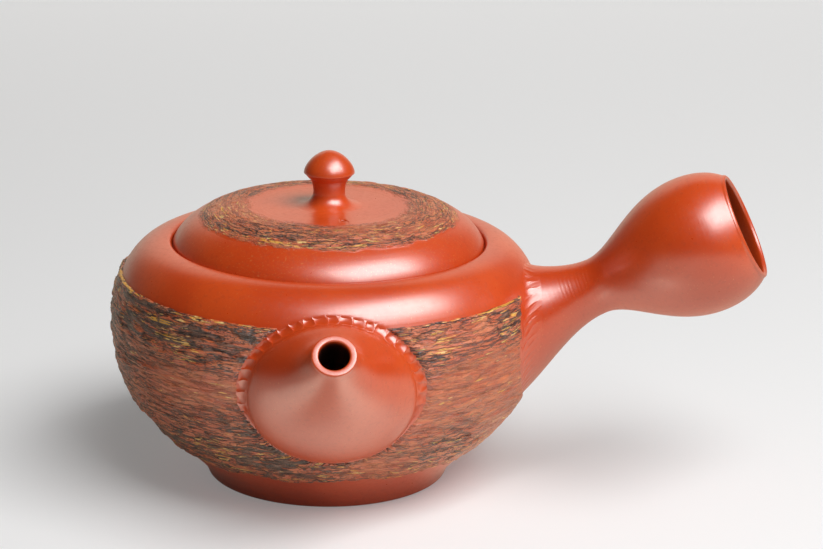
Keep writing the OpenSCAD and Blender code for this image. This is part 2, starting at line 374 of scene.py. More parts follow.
class Nodes:
    """Short words for making shader nodes in one material."""

    def __init__(self, name: str) -> None:
        """Starts a material whose surface is one Principled shader.

        Args:
            name: the material's name.
        """
        self.material = bpy.data.materials.new(name)
        self.material.use_nodes = True
        self.tree = self.material.node_tree
        self.tree.nodes.clear()
        self.shader = self.tree.nodes.new("ShaderNodeBsdfPrincipled")
        output = self.tree.nodes.new("ShaderNodeOutputMaterial")
        self.tree.links.new(self.shader.outputs[0], output.inputs[0])

    def _fill(self, socket: Socket, value: object) -> None:
        """Feeds an input from an output socket, or sets it to a value.

        Args:
            socket: the input.
            value: output socket, number or colour.
        """
        if isinstance(value, Socket):
            self.tree.links.new(value, socket)
        else:
            socket.default_value = value

    def add(self, kind: str, inputs: dict, **settings: object) -> bpy.types.Node:
        """Makes a node, sets its properties and fills its inputs with values or links.

        Args:
            kind: Blender's name of the node type.
            inputs: value or output socket for each input, by name or number.
            settings: properties of the node.

        Returns:
            The node.
        """
        node = self.tree.nodes.new(kind)
        for key, value in settings.items():
            setattr(node, key, value)
        for key, value in inputs.items():
            self._fill(node.inputs[key], value)
        return node

    def coords(self) -> Socket:
        """Object coordinates in metres."""
        return self.add("ShaderNodeTexCoord", {}).outputs["Object"]

    def attribute(self, name: str, output: str = "Fac") -> Socket:
        """A named attribute of the mesh."""
        return self.add("ShaderNodeAttribute", {}, attribute_name=name).outputs[output]

    def noise(self, vector: Socket, scale: float, detail: float, rough: float = 0.5) -> Socket:
        """Fractal noise from 0 to 1 at a place."""
        inputs = {"Vector": vector, "Scale": scale, "Detail": detail, "Roughness": rough}
        return self.add("ShaderNodeTexNoise", inputs).outputs[0]

    def math(self, operation: str, first: object, *others: object) -> Socket:
        """One sum carried through numbers from left to right.

        Args:
            operation: Blender's name of the sum.
            first: the first number.
            others: the numbers after it, if the sum takes any.

        Returns:
            The result.
        """
        for other in others or (0.0,):
            first = self.add("ShaderNodeMath", {0: first, 1: other}, operation=operation).outputs[0]
        return first

    def times(self, *numbers: object) -> Socket:
        """Product of numbers."""
        return self.math("MULTIPLY", *numbers)

    def plus(self, *numbers: object) -> Socket:
        """Sum of numbers."""
        return self.math("ADD", *numbers)

    def minus(self, *numbers: object) -> Socket:
        """The first number less the others."""
        return self.math("SUBTRACT", *numbers)

    def vector(self, operation: str, a: Socket, b: tuple = (0.0, 0.0, 0.0)) -> bpy.types.bpy_prop_collection:
        """The outputs of one sum on vectors, by name."""
        return self.add("ShaderNodeVectorMath", {0: a, 1: b}, operation=operation).outputs

    def span(self, value: object, low: float, high: float, start: float = 0.0, end: float = 1.0) -> Socket:
        """Maps low..high smoothly onto start..end and holds the ends."""
        inputs = {"Value": value, "From Min": low, "From Max": high, "To Min": start, "To Max": end}
        return self.add("ShaderNodeMapRange", inputs, interpolation_type="SMOOTHSTEP").outputs[0]

    def mix(self, share: object, a: object, b: object) -> Socket:
        """Colour a, or b where the share is 1."""
        return self.add("ShaderNodeMix", {0: share, 6: a, 7: b}, data_type="RGBA").outputs[2]

    def bump(self, height: Socket, depth: float) -> Socket:
        """Normal of a surface raised by a height of up to depth metres."""
        return self.add("ShaderNodeBump", {"Height": height, "Distance": depth, "Strength": 1.0}).outputs[0]

    def surface(self, **inputs: object) -> Material:
        """Fills the Principled shader's inputs, by name with underscores for blanks.

        Args:
            inputs: value or output socket for each input.

        Returns:
            The finished material.
        """
        for key, value in inputs.items():
            self._fill(self.shader.inputs[key.replace("_", " ")], value)
        return self.material


@dataclass(frozen=True)
class ClayFinish:
    """Burnished unglazed red clay: warm mottling, fine pale grit, faint turning lines and a satin polish."""

    body: tuple = (0.60, 0.055, 0.004, 1.0)
    warm: tuple = (0.68, 0.076, 0.007, 1.0)
    dark: tuple = (0.42, 0.040, 0.005, 1.0)
    grit: tuple = (0.80, 0.34, 0.11, 1.0)
    # Painted shade: the colour that the bore of the spout and the hollow of the handle darken to.
    painted_shade: tuple = (0.030, 0.009, 0.005, 1.0)
    polish: float = 0.30
    index: float = 1.65
    cloud_scale: float = 45.0
    fine_scale: float = 900.0
    fine_height: float = 0.12
    grit_scale: float = 2300.0
    grit_share: float = 0.70
    grit_cover: float = 0.3
    line_pitch: float = 0.0007
    line_depth: float = 0.000012

    def make(self, name: str, turning: Turning, handle_axis: Array) -> Material:
        """Builds the material. Where a mesh carries a shade share, the clay darkens by it: painted shade in
        hollows.

        Args:
            name: its name.
            turning: how the turning lines run.
            handle_axis: direction of the handle's axis.

        Returns:
            The material.
        """
        n = Nodes(name)
        place = n.coords()
        fine = self.fine(n, place)
        height = n.times(fine, self.fine_height)
        if turning is not Turning.NONE:
            height = n.plus(height, self._lines(n, place, turning, handle_axis))
        return n.surface(
            # Painted shade: the mesh's shade share darkens the clay in the bore and the handle's hollow.
            Base_Color=n.mix(n.attribute("painted_shade"), self.colour(n, place, fine), self.painted_shade),
            Roughness=n.span(fine, 0.2, 0.8, self.polish - 0.03, self.polish + 0.05),
            Specular_IOR_Level=1.0,
            IOR=self.index,
            Normal=n.bump(height, self.line_depth),
        )

    def fine(self, n: Nodes, place: Socket) -> Socket:
        """The finest mottling of the clay."""
        return n.noise(place, self.fine_scale, 4.0, 0.6)

    def colour(self, n: Nodes, place: Socket, fine: Socket) -> Socket:
        """Colour of the clay before the painted shade: broad warm clouds, fine dark mottling and pale grit.

        Args:
            n: nodes of the material.
            place: object coordinates.
            fine: the finest mottling.

        Returns:
            The colour.
        """
        colour = n.mix(n.span(n.noise(place, self.cloud_scale, 3.0), 0.35, 0.68), self.body, self.warm)
        colour = n.mix(n.span(fine, 0.5, 0.72, 0.0, 0.3), colour, self.dark)
        grains = n.noise(place, self.grit_scale, 1.0)
        grains = n.span(grains, self.grit_share, self.grit_share + 0.05, 0.0, self.grit_cover)
        return n.mix(grains, colour, self.grit)

    def _lines(self, n: Nodes, place: Socket, turning: Turning, axis: Array) -> Socket:
        """Height of the turning lines: noise of the distance along or out from the turning axis alone.

        Args:
            n: nodes of the material.
            place: object coordinates.
            turning: how the lines run.
            axis: direction of the handle's axis.

        Returns:
            The height.
        """
        if turning is Turning.FLAT:
            along = n.vector("LENGTH", n.vector("MULTIPLY", place, (1.0, 1.0, 0.0))[0])["Value"]
        else:
            way = tuple(axis) if turning is Turning.HANDLE else (0.0, 0.0, 1.0)
            along = n.vector("DOT_PRODUCT", place, way)["Value"]
        inputs = {"W": along, "Scale": 1.0 / self.line_pitch, "Detail": 2.0}
        return n.add("ShaderNodeTexNoise", inputs, noise_dimensions="1D").outputs[0]


@dataclass(frozen=True)
class BarkFinish:
    """Torn slip like pine bark: red clay, brown-black scales and yellow flecks that run along the band.

    It reads attributes of the mesh. Grain is the place along and across the band, drawn out along it; relief
    is the torn height, whose low places get painted shade; soot how dark the slip lies, partly real dark
    slip and partly painted shade, and how dark the painted shade in the cracks lies; gold how many yellow
    flecks show; and cover falls to 0 where the slip thins out over the clay.
    """

    clay: ClayFinish = ClayFinish()
    red: tuple = (0.60, 0.090, 0.018, 1.0)
    brick: tuple = (0.72, 0.190, 0.060, 1.0)
    dusk: tuple = (0.30, 0.080, 0.034, 1.0)
    soot_and_shade: tuple = (0.055, 0.020, 0.010, 1.0)
    ash: tuple = (0.190, 0.090, 0.050, 1.0)
    # Painted shade, partly dark slip: the colour of the cracks and the low places of the relief.
    dark_and_shaded_crack: tuple = (0.030, 0.009, 0.005, 1.0)
    ochre: tuple = (0.88, 0.42, 0.04, 1.0)
    cream: tuple = (0.98, 0.68, 0.24, 1.0)
    polish: float = 0.31
    dulled: float = 0.14
    raised: float = 0.00034
    flake_scale: float = 1.7
    detail: float = 3.0
    rough: float = 0.5
    fleck_scale: float = 1.9
    crack_width: float = 0.040
    short_crack_width: float = 0.030

    def make(self, name: str) -> Material:
        """Builds the material: slip over bare clay, as far as the cover and the worn places let it lie.

        Args:
            name: its name.

        Returns:
            The material.
        """
        n = Nodes(name)
        grain = n.attribute("grain", "Vector")
        tone = n.noise(grain, 0.7, 5.0, 0.65)
        flake = n.noise(grain, self.flake_scale, self.detail, self.rough)
        colour, height = self._scales(n, grain, tone, flake)
        place = n.coords()
        bare = self.clay.colour(n, place, self.clay.fine(n, place))
        worn = n.minus(n.plus(tone, flake), 1.0)
        lying = n.span(n.plus(n.attribute("cover"), n.times(worn, 1.3)), 0.25, 0.75)
        return n.surface(
            Base_Color=n.mix(lying, bare, self._gild(n, grain, flake, colour)),
            Roughness=n.plus(self.polish, n.times(flake, self.dulled, lying)),
            Specular_IOR_Level=1.0,
            IOR=self.clay.index,
            Normal=n.bump(n.times(height, lying), self.raised),
        )

    def _scales(self, n: Nodes, grain: Socket, tone: Socket, flake: Socket) -> tuple[Socket, Socket]:
        """Red slip that darkens in flakes, is covered by brown-black scales and cracks along and across.

        Painted shade, partly dark slip, darkens its cracks and the low places of its relief.

        Args:
            n: nodes of the material.
            grain: the mesh's grain.
            tone: broad noise on the grain.
            flake: fine noise on the grain.

        Returns:
            Colour and height of the slip.
        """
        soot_and_shade = n.attribute("soot_and_shade")
        # How strongly the flakes dim and the painted shade darkens the cracks: it follows the soot share,
        # painted side shade included.
        depth = n.span(soot_and_shade, 0.0, 0.5, 0.2, 1.0)
        colour = n.mix(n.span(tone, 0.36, 0.64), self.red, self.brick)
        colour = n.mix(n.times(n.span(flake, 0.5, 0.68, 0.0, 0.4), depth), colour, self.dusk)
        scales = n.noise(self._drawn(n, grain, 0.65), 0.8, self.detail, self.rough)
        scales = n.span(n.minus(scales, n.span(soot_and_shade, 0.0, 1.0, 0.74, 0.49)), 0.0, 0.06, 0.0, 0.88)
        colour = n.mix(scales, colour, n.mix(n.span(flake, 0.42, 0.66), self.soot_and_shade, self.ash))
        # Painted shade, partly dark slip: the cracks and the relief's low places darken toward the crack
        # colour.
        long_crack = self._crack(n, n.noise(self._drawn(n, grain, 0.45), 0.95, 3.0, 0.6), self.crack_width)
        short_crack = self._crack(n, n.noise(grain, 1.2, 3.0, 0.6), self.short_crack_width)
        hollow = n.span(n.attribute("relief"), 0.36, 0.10, 0.0, 0.9)
        for dark in (n.times(long_crack, 0.95), n.times(short_crack, 0.8), hollow):
            colour = n.mix(n.times(dark, depth), colour, self.dark_and_shaded_crack)
        height = n.plus(flake, n.noise(grain, 5.0, 4.0, 0.65))
        height = n.minus(height, long_crack, n.times(short_crack, 0.6))
        height = n.times(height, n.span(depth, 0.2, 1.0, 0.6, 1.0))
        return colour, n.plus(height, n.times(scales, 1.1))

    def _gild(self, n: Nodes, grain: Socket, flake: Socket, colour: Socket) -> Socket:
        """Lays yellow flecks and long ochre streaks on the slip, many in some places and none in others.

        Args:
            n: nodes of the material.
            grain: the mesh's grain.
            flake: fine noise on the grain.
            colour: colour of the slip.

        Returns:
            The colour with them.
        """
        rare = n.span(n.noise(grain, 0.22, 1.0), 0.36, 0.66, 0.73, 0.655)
        rare = n.minus(rare, n.times(n.attribute("gold"), 0.12))
        fleck = n.noise(self._drawn(n, grain, 0.45), self.fleck_scale, 3.0, 0.55)
        yellow = n.mix(n.span(flake, 0.42, 0.62), self.ochre, self.cream)
        colour = n.mix(n.span(n.minus(fleck, rare), 0.0, 0.02), colour, yellow)
        streak = n.noise(self._drawn(n, grain, 0.13), 1.5, 2.0)
        streak = n.span(n.minus(streak, n.plus(rare, 0.055)), 0.0, 0.015)
        return n.mix(n.times(streak, n.span(flake, 0.40, 0.52)), colour, self.ochre)

    def _drawn(self, n: Nodes, grain: Socket, share: float) -> Socket:
        """The grain drawn out further along the band."""
        return n.vector("MULTIPLY", grain, (share, share, 1.0))[0]

    def _crack(self, n: Nodes, noise: Socket, width: float) -> Socket:
        """1 on the lines where a noise crosses its middle, and 0 away from them."""
        apart = n.math("ABSOLUTE", n.minus(noise, 0.5))
        return n.span(apart, 0.35 * width, width, 1.0, 0.0)


@dataclass(frozen=True)
class PaperFinish:
    """Pale studio paper. Its glow shows to the camera and in the polish of the clay, which mirrors it."""

    shades: tuple = ((0.67, 0.67, 0.67, 1.0), (0.70, 0.70, 0.70, 1.0))
    bounced: tuple = (0.69, 0.62, 0.52, 1.0)
    mirrored: tuple = (1.0, 0.90, 0.74, 1.0)
    white: tuple = (1.0, 1.0, 1.0, 1.0)

    def make(self, name: str) -> Material:
        """Builds the material. Light paths tell the camera's view from what the clay mirrors.

        Args:
            name: its name.

        Returns:
            The material.
        """
        n = Nodes(name)
        place = n.coords()
        spot = n.add("ShaderNodeSeparateXYZ", {0: place}).outputs
        right, back = spot["X"], spot["Y"]
        rays = n.add("ShaderNodeLightPath", {}).outputs
        camera = rays["Is Camera Ray"]
        polish = n.math("MAXIMUM", rays["Is Glossy Ray"], rays["Is Transmission Ray"])
        polish = n.times(polish, n.span(n.math("ABSOLUTE", right), 0.45, 1.1, 1.0, 0.1))
        distant = n.times(polish, n.span(back, -0.05, 0.3, 0.3, 1.0))
        glow = n.times(n.math("MAXIMUM", camera, distant), n.span(back, -0.05, 1.3, 0.20, 0.66))
        close = self._close(n, right, back)
        n.material.cycles.emission_sampling = "NONE"
        return n.surface(
            Base_Color=n.mix(camera, self.bounced, n.mix(n.noise(place, 1.3, 2.0), *self.shades)),
            Roughness=0.7,
            Specular_IOR_Level=0.2,
            Emission_Color=n.mix(camera, self.mirrored, self.white),
            Emission_Strength=n.plus(glow, n.times(polish, close)),
        )

    def _close(self, n: Nodes, right: Socket, back: Socket) -> Socket:
        """Bright places close to the pot: one for the bell to mirror, darkened down its middle by a painted
        shadow under the spout, and a plain one for the grip.

        Args:
            n: nodes of the material.
            right, back: places on the paper in metres.

        Returns:
            Their strength.
        """
        strip = n.times(n.span(back, -0.042, -0.058), n.span(back, -0.092, -0.070, 0.15, 1.0))
        from_middle = n.math("ABSOLUTE", n.plus(right, 0.010))
        # Painted shadow under the spout: the strip goes dark near the middle and brighter to both sides.
        painted_shadow_stripe = n.times(n.span(from_middle, 0.006, 0.036, 1.0, -0.7), n.span(back, -0.060, -0.067))
        left_end = n.span(right, -0.16, -0.10, 0.1, 1.0)
        right_end = n.span(right, 0.034, 0.085, 1.0, 0.15)
        for_bell = n.times(strip, n.minus(1.0, painted_shadow_stripe), left_end, right_end)
        across = n.times(n.span(right, 0.022, 0.040, 0.0, 0.55), n.span(right, 0.050, 0.110, 1.0, 0.3))
        for_grip = n.times(across, n.span(back, 0.04, 0.01), n.span(back, -0.12, -0.085, 0.15, 1.0))
        return n.math("MAXIMUM", for_bell, for_grip)


@dataclass
class BarkRelief:
    """Torn relief of the slip: long pillows with sharp cracks between them, and plates that step up."""

    wave: tuple = (13.0, 5.0)
    ripple: tuple = (3.4, 2.0)
    pillow: tuple = (9.0, 1.5)
    wrinkle: tuple = (4.2, 0.95)
    plate: tuple = (6.0, 1.6)
    sharpness: float = 0.6
    seed: int = 11

    def noise(self, layer: Layer, u: Array, v: Array, cell: tuple, around: float) -> Array:
        """Noise of one layer."""
        return lattice_noise(u, v, cell, around, self.seed + layer.value)

    def height(self, u: Array, v: Array, around: float) -> Array:
        """Relief from 0 to 1 on a waved grain.

        Pillows and wrinkles are |2 noise - 1| to a power below 1, which falls sharply to 0 along cracks.

        Args:
            u, v: places along and across the grain.
            around: length of one round.

        Returns:
            Relief at each place.
        """
        v = v + 2.0 * (self.noise(Layer.WAVE, u, v, self.wave, around) - 0.5)
        v = v + 0.7 * (self.noise(Layer.RIPPLE, u, v, self.ripple, around) - 0.5)
        pillows = np.abs(2 * self.noise(Layer.PILLOW, u, v, self.pillow, around) - 1) ** self.sharpness
        wrinkles = np.abs(2 * self.noise(Layer.WRINKLE, u, v, self.wrinkle, around) - 1) ** self.sharpness
        plates = soft_step(self.noise(Layer.PLATE, u, v, self.plate, around), 0.5, 0.12)
        return np.clip(0.42 * pillows + 0.36 * wrinkles + 0.3 * plates, 0.0, 1.0)

    def grain(self, radius: float, angle: Array, across: Array, drawn: float, size: float) -> Array:
        """Places that the bark's finish reads: on a cylinder, so that its pattern has no seam.

        Args:
            radius: radius of the cylinder.
            angle: angles round the pot.
            across: places across the band.
            drawn: how much finer the pattern is across than along.
            size: size of the pattern along the band.

        Returns:
            Grid of places.
        """
        x, y, z = np.broadcast_arrays(radius * np.cos(angle), radius * np.sin(angle), across * drawn)
        return np.stack([x, y, z], -1) / size


@dataclass
class Pot:
    """The thrown pot: hollow foot, round belly, soft shoulder, seat for the lid and the bark band."""

    belly_r: float = 57.0
    belly_z: float = 43.0
    shoulder_z: float = 64.0
    heel_out: float = 7.2
    heel_z: float = 9.2
    foot_r: float = 32.3
    foot_ring: float = 5.0
    foot_round: float = 0.8
    ring_round: float = 0.6
    recess: float = 1.5
    wall: float = 4.0
    heel_wall: float = 2.83
    floor_z: float = 6.5
    floor_in: float = 9.0
    seat_r: float = 41.6
    seat_chamfer: float = 0.3
    ledge_z: float = 61.6
    ledge_t: float = 4.0
    ledge_round: float = 0.8
    mouth_r: float = 37.2
    lip_round: float = 1.2
    window_r: float = 11.5
    window_z: float = 38.7
    window_from: float = 40.0
    window_past: float = 5.0
    sunk: float = 0.8
    columns: int = 256
    bark_low: float = 11.0
    bark_top: float = 55.4
    bark_margin: float = 0.9
    bark_t: float = 1.0
    bark_base: float = 0.15
    bark_sunk: float = 0.35
    bark_grid: tuple = (204, 470)

    def outside(self) -> Array:
        """The outside from the foot to the shoulder's crest: three curves that run on smoothly.

        Returns:
            Points as radius and height.
        """
        heel = (self.foot_r + self.heel_out, self.heel_z)
        belly = (self.belly_r, self.belly_z)
        crest = (self.seat_r + self.lip_round, self.shoulder_z)
        return chain(
            bend((self.foot_r, 0), (0.2, 3), (-4, -3.8), heel, 14),
            bend(heel, (9.2, 8.5), (0, -17.5), belly, 40),
            bend(belly, (0, 11.8), (8.6, 0), crest, 40),
        )

    def radius_at(self, z: Array) -> Array:
        """Outer radius at a height."""
        section = self.outside()
        return np.interp(z, section[:, 1], section[:, 0])

    def normal_at(self, x: Array, y: Array, z: Array, step: float = 0.2) -> Array:
        """Outward normal of the belly: out along the radius, and down or up by the section's slope.

        Args:
            x, y, z: places on the belly.
            step: height over which the slope is taken, up and down.

        Returns:
            A unit normal for each place.
        """
        slope = (self.radius_at(z + step) - self.radius_at(z - step)) / (2 * step)
        r = np.hypot(x, y)
        return unit(np.stack([x / r, y / r, -slope], -1))

    def section(self) -> Array:
        """The whole wall, from the middle under the foot, over the rim and back to the middle of the floor.

        Returns:
            Points as radius and height.
        """
        ring = self.foot_r - self.foot_ring
        hollow = (self.belly_r - self.wall, self.belly_z)
        heel = (self.foot_r + self.heel_out - self.heel_wall, self.heel_z + self.heel_wall)
        floor = (heel[0] - self.floor_in, self.floor_z)
        under = self.ledge_z - self.ledge_t
        edge_r, crest_r = self.mouth_r + self.ledge_round, self.seat_r + self.lip_round
        chamfer = self.seat_chamfer
        return chain(
            bend((0, self.recess), (ring / 3, 0), (2.2 - ring / 3, 0), (ring - 2.2, self.recess), 6),
            arc((ring - 0.9, self.ring_round), self.ring_round, 160, 270, 6),
            arc((self.foot_r - self.foot_round, self.foot_round), self.foot_round, 270, 350, 6),
            self.outside()[2:],
            arc((crest_r, self.shoulder_z - self.lip_round), self.lip_round, 90, 180, 10),
            [(self.seat_r, self.ledge_z + chamfer), (self.seat_r - chamfer, self.ledge_z)],
            arc((edge_r, self.ledge_z - self.ledge_round), self.ledge_round, 90, 180, 6),
            arc((edge_r, under + self.ledge_round), self.ledge_round, 180, 250, 6),
            bend((self.mouth_r + 1.2, under), (7.8, 0), (0, 8), hollow, 24),
            bend(hollow, (0, -15), (8, 8), heel, 24),
            bend(heel, (-3, -3), (4, 0), floor, 10),
            bend(floor, (18 - floor[0], 0), (9, 0), (0, self.floor_z), 6),
        )

    def build(self, clay: Material, joints: list["Joint"]) -> None:
        """Makes the pot's wall, sunk under the pressed clay, and cuts the window behind the spout.

        Args:
            clay: its finish.
            joints: the spout's and handle's joints.
        """
        points = turn(self.section(), self.columns)
        x, y, z = np.moveaxis(points, -1, 0)
        outer = np.hypot(x, y) > self.radius_at(z) - 1.0
        for joint in joints:
            sunk = self.sunk * outer * (1 - soft_step(joint.offset(x, y, z), -0.9, 1.2))
            points = points - sunk[..., None] * self.normal_at(x + TINY, y, z)
        obj = Piece("pot_wall", points, Body.POT, Slot.CLAY, "pot_body").build(clay)
        end = -self.belly_r - self.window_past
        drill(obj, (0, -self.window_from, self.window_z), (0, end, self.window_z), self.window_r)

    def build_bark(self, bark: Material, relief: BarkRelief, joints: list["Joint"]) -> None:
        """Makes the belly's bark: the outside raised by the relief, sunk into the clay at edges and joints.

        Soot lies in patches, thickest high and low on the band. On the side away from the handle, turned
        from the key light, there is more of it and on the handle's side less: painted shade. Gold lies high
        and low too, and in a thin line along the torn top edge.

        Args:
            bark: finish of the band.
            relief: its torn relief.
            joints: the spout's and handle's joints, which the band runs under.
        """
        rows, columns = self.bark_grid
        heights = np.linspace(self.bark_low - self.bark_margin, self.bark_top + self.bark_margin, rows)
        angle = round_angles(columns) + np.pi / 2
        around = 2 * np.pi * self.belly_r
        along, z = np.broadcast_arrays(angle * self.belly_r, heights[:, None])
        r = self.radius_at(z)
        x, y = r * np.cos(angle), r * np.sin(angle)
        torn = relief.height(along, z, around)
        ragged = relief.noise(Layer.EDGE, along, z, (2.6, 2.0), around) - 0.5
        patches = relief.noise(Layer.PATCH, along, z, (26.0, 7.0), around) - 0.5
        from_top = self.bark_top - z + 0.4 * ragged
        from_low = z - self.bark_low + 1.3 * ragged
        high, low = soft_step(z, 45.0, 9.0), 1 - soft_step(z, 26.0, 13.0)
        # Painted shade: more dark slip on the side turned from the key light, less on the lit side by the
        # handle.
        painted_side_shade = (0.32 - 0.12 * high) * np.cos(angle)
        soot_and_shade = np.clip(0.12 + 0.5 * high + 0.38 * low - painted_side_shade + 0.8 * patches, 0.0, 1.0)
        edge = (0.65 + 0.1 * np.cos(angle)) * np.exp(-((from_top - 0.25) / 0.25) ** 2)
        inside = soft_step(from_top, 0.0, 0.4) * soft_step(from_low, 0.0, 0.8)
        keep = np.ones(z.shape, bool)
        for joint in joints:
            out = joint.offset(x, y, z)
            inside = inside * soft_step(out, 0.1, 0.6)
            keep &= out > -2.0
        rough = 0.6 + 0.4 * soft_step(soot_and_shade, 0.22, 0.4)
        lift = inside * (self.bark_base + self.bark_t * torn * rough) - self.bark_sunk * (1 - inside)
        points = np.stack([x, y, z], -1) + lift[..., None] * self.normal_at(x, y, z)
        layers = {"grain": relief.grain(self.belly_r, angle, z, drawn=4.2, size=5.0), "relief": torn,
                  "soot_and_shade": soot_and_shade, "gold": 0.6 * high + 0.45 * low + edge, "cover": np.full(z.shape, 1.6)}
        piece = Piece("bark_band", points, Body.POT, Slot.BARK, "belly_bark", keep=keep, attributes=layers)
        piece.build(bark)


@dataclass
class Joint:
    """An oval joint on the belly, seen along a direction in plan."""

    pot: Pot
    turned: float
    half_w: float
    half_h: float
    mid_z: float
    pressed: float = 0.0
    sweep: float = 104.0
    far: float = 99.0

    def pressed_share(self, angle: Array) -> Array:
        """1 where pressed clay covers the joint, over its top, and 0 below; angle 0 is to the right."""
        from_top = np.abs((np.degrees(angle) - 90 + 180) % 360 - 180)
        return soft_step(self.sweep - from_top, 0.0, 36.0)

    def local(self, x: Array, y: Array) -> tuple[Array, Array]:
        """Places across and toward the joint: the plan turned so that the joint lies at -y."""
        a = np.radians(self.turned)
        return x * np.cos(a) + y * np.sin(a), -x * np.sin(a) + y * np.cos(a)

    def world(self, x: Array, y: Array, z: Array) -> Array:
        """Places in the part's frame of places in the joint's own."""
        a = np.radians(self.turned)
        return np.stack([x * np.cos(a) - y * np.sin(a), x * np.sin(a) + y * np.cos(a), z], -1)

    def offset(self, x: Array, y: Array, z: Array) -> Array:
        """Distance outside the oval and its pressed clay, roughly; large on the far side of the pot.

        Args:
            x, y, z: places in the part's frame.

        Returns:
            The distance at each place.
        """
        across, toward = self.local(x, y)
        wide, high = across / self.half_w, (z - self.mid_z) / self.half_h
        out = (np.hypot(wide, high) - 1) * 0.5 * (self.half_w + self.half_h)
        out = out - self.pressed * self.pressed_share(np.arctan2(high, wide))
        return np.where(toward < 0, out, self.far)

    def on_belly(self, angle: Array, out: Array | float, lift: float) -> Array:
        """Points round the joint: the oval grown by out, laid on the belly and lifted along its normal.

        Args:
            angle: ring angles in radians, 0 to the right and upward positive.
            out: distance outside the oval.
            lift: height above the belly.

        Returns:
            Points in the part's frame.
        """
        x = (self.half_w + out) * np.cos(angle)
        z = self.mid_z + (self.half_h + out) * np.sin(angle)
        r = self.pot.radius_at(z)
        y = -np.sqrt(np.maximum(r * r - x * x, 1.0))
        local = np.stack([x, y, z], -1) + lift * self.pot.normal_at(x, y, z)
        return self.world(*np.moveaxis(local, -1, 0))


@dataclass
class PressedClay:
    """Clay pressed over a joint: a fillet between a limb and the pot with a row of slanted tool marks."""

    name: str
    node: str
    count: int
    length: float
    width: float
    depth: float
    rim: float
    lean: float
    middle: float
    fullness: float
    seed: int
    rows: int = 40
    end_fade: float = 3.5
    end_sunk: float = 0.45

    def build(self, inner: Array, corner: Array, outer: Array, closed: bool, clay: Material) -> None:
        """Makes the strip: a square curve from a rail on the limb, past the corner, to a rail on the pot.

        Args:
            inner, corner, outer: the rails, one point a column.
            closed: whether the strip runs all round.
            clay: its finish.
        """
        t = np.linspace(0, 1, self.rows)[:, None]
        share = t[..., None]
        filled = 0.5 * (inner + outer) - corner
        middle = corner + self.fullness * filled
        points = (1 - share) ** 2 * inner + 2 * share * (1 - share) * middle + share**2 * outer
        normal = grid_normals(points, closed)
        normal = normal * np.sign(np.sum(normal * filled[None], -1).mean())
        rail = points[self.rows // 2]
        steps = np.linalg.norm(np.roll(rail, -1, axis=0) - rail, axis=1)
        total = steps.sum() if closed else steps[:-1].sum()
        along = np.concatenate([[0.0], np.cumsum(steps)[:-1]])[None, :]
        span = np.linalg.norm(np.diff(points, axis=0), axis=-1).sum(0).mean()
        lift = self._scoops(along, t * span - self.middle * span, total, closed)
        ends = soft_step(along, self.end_fade, 5.0) * soft_step(total - along, self.end_fade, 5.0)
        fade = np.ones_like(along) if closed else ends
        edges = soft_step(t, 0.05, 0.1) * soft_step(1 - t, 0.05, 0.1)
        points = points + (fade * edges * lift - self.end_sunk * (1 - fade))[..., None] * normal
        inside_out = np.sum(grid_normals(points, closed) * normal, -1).mean() <= 0
        points = points[:, ::-1] if inside_out else points
        Piece(self.name, points, Body.POT, Slot.CLAY, self.node, close_columns=closed).build(clay)

    def _scoops(self, along: Array, out: Array, total: float, closed: bool) -> Array:
        """Height of the tool marks, each of which overlaps the one before, like scales.

        A scoop is the bowl rim - depth (1 - q), with q = (s / length)² + (w / width)² < 1 for s along the
        scoop and w across it, deepest toward the pot.

        Args:
            along: places along the strip.
            out: places across it from the row's middle.
            total: length of the strip.
            closed: whether it runs all round.

        Returns:
            Height on the grid.
        """
        rng = np.random.default_rng(self.seed)
        centres = total / self.count * (np.arange(self.count) + 0.5 + rng.normal(0, 0.05, self.count))
        leans = np.radians(self.lean + rng.normal(0, 8, self.count))
        sizes = rng.uniform(0.82, 1.15, self.count)
        lift = 0 * (along + out)
        for centre, lean, size in zip(centres, leans, sizes):
            sideways = along - centre
            sideways = (sideways + 0.5 * total) % total - 0.5 * total if closed else sideways
            s = (out * np.cos(lean) + sideways * np.sin(lean)) / (self.length * size)
            width = self.width * size * (1 - 0.25 * np.clip(s, -1, 1))
            w = (sideways * np.cos(lean) - out * np.sin(lean)) / width
            q = s * s + w * w
            bowl = self.rim - self.depth * (1 - q) * (0.25 + 0.75 * soft_step(s, 0.0, 1.6))
            lift = lift + soft_step(1 - q, 0.03, 0.14) * (bowl - lift)
        return lift


